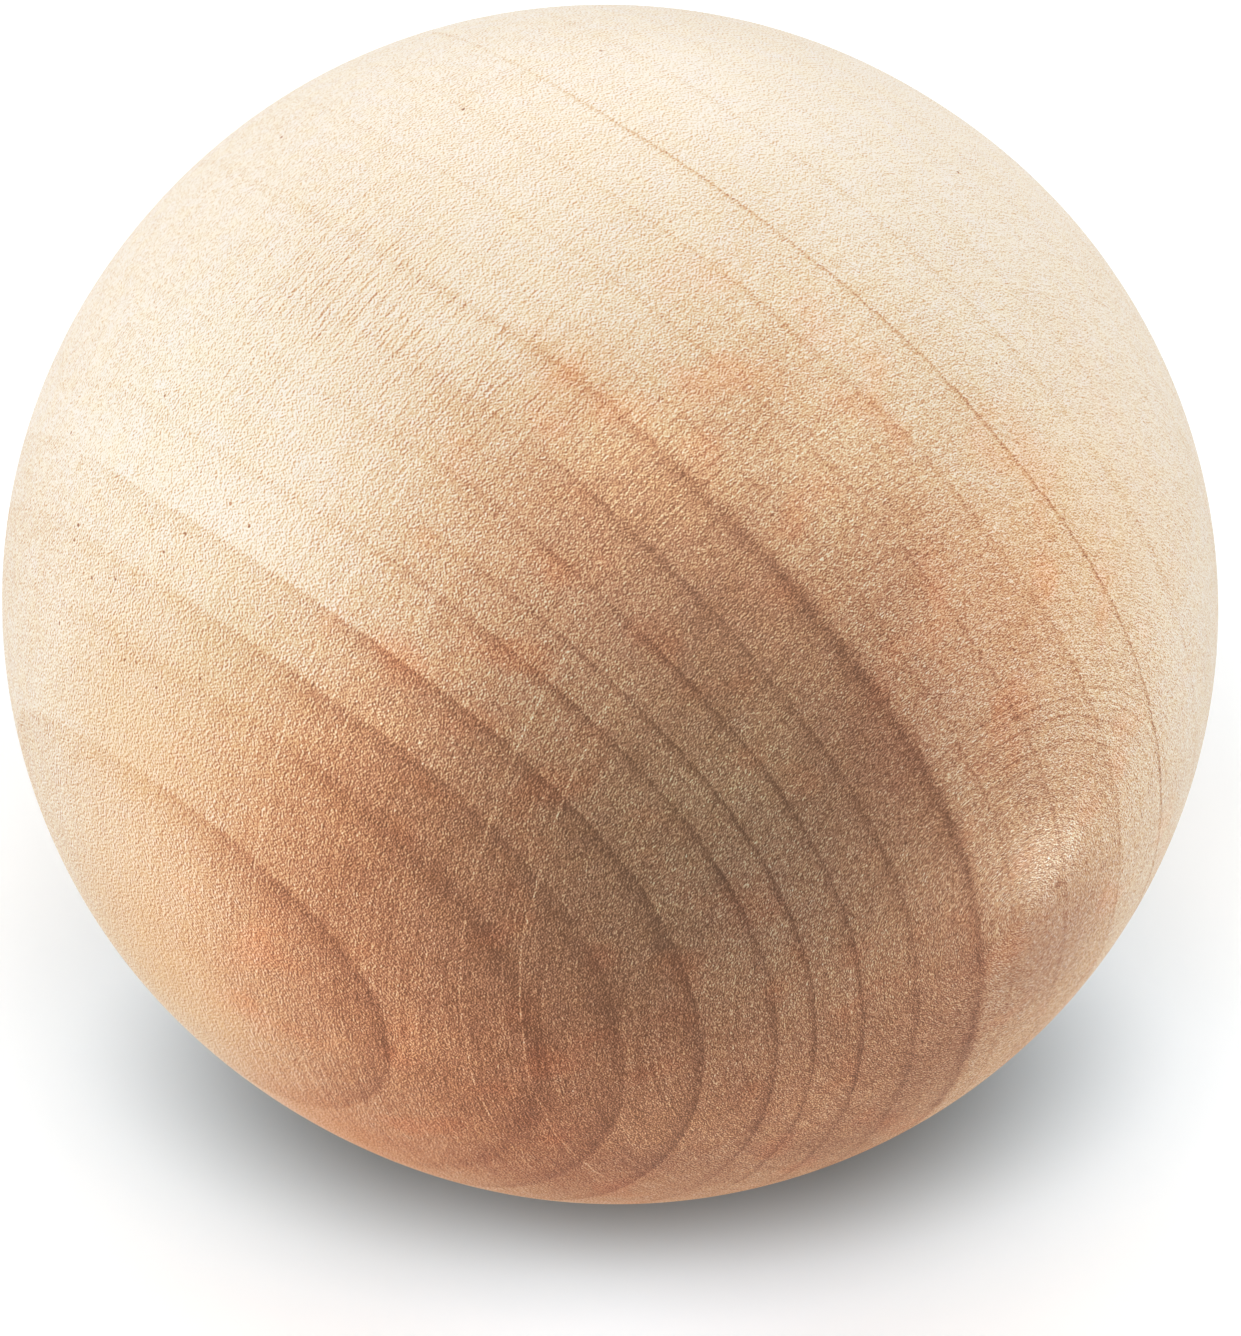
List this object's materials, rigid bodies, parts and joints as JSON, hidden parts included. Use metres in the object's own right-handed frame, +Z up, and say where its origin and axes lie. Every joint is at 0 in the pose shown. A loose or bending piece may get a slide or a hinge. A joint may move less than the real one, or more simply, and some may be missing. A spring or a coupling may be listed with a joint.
{
  "type": "wooden ball",
  "caption": "Solid turned hardwood ball with an unfinished, finely sanded surface and bold growth rings, slightly out of round from drying.",
  "frame": {"origin": "the ball's centre", "axes": "+X along the axis the ball was turned about, close to the way of the grain; +Y away from the middle of the tree, across the growth rings; +Z up, along the rings, where drying took most off the diameter"},
  "size_m": [0.05, 0.0494, 0.0486],
  "materials": {
    "turned_wood": "matte"
  },
  "bodies": {
    "root": {"ball": "turned_wood"}
  },
  "joints": []
}
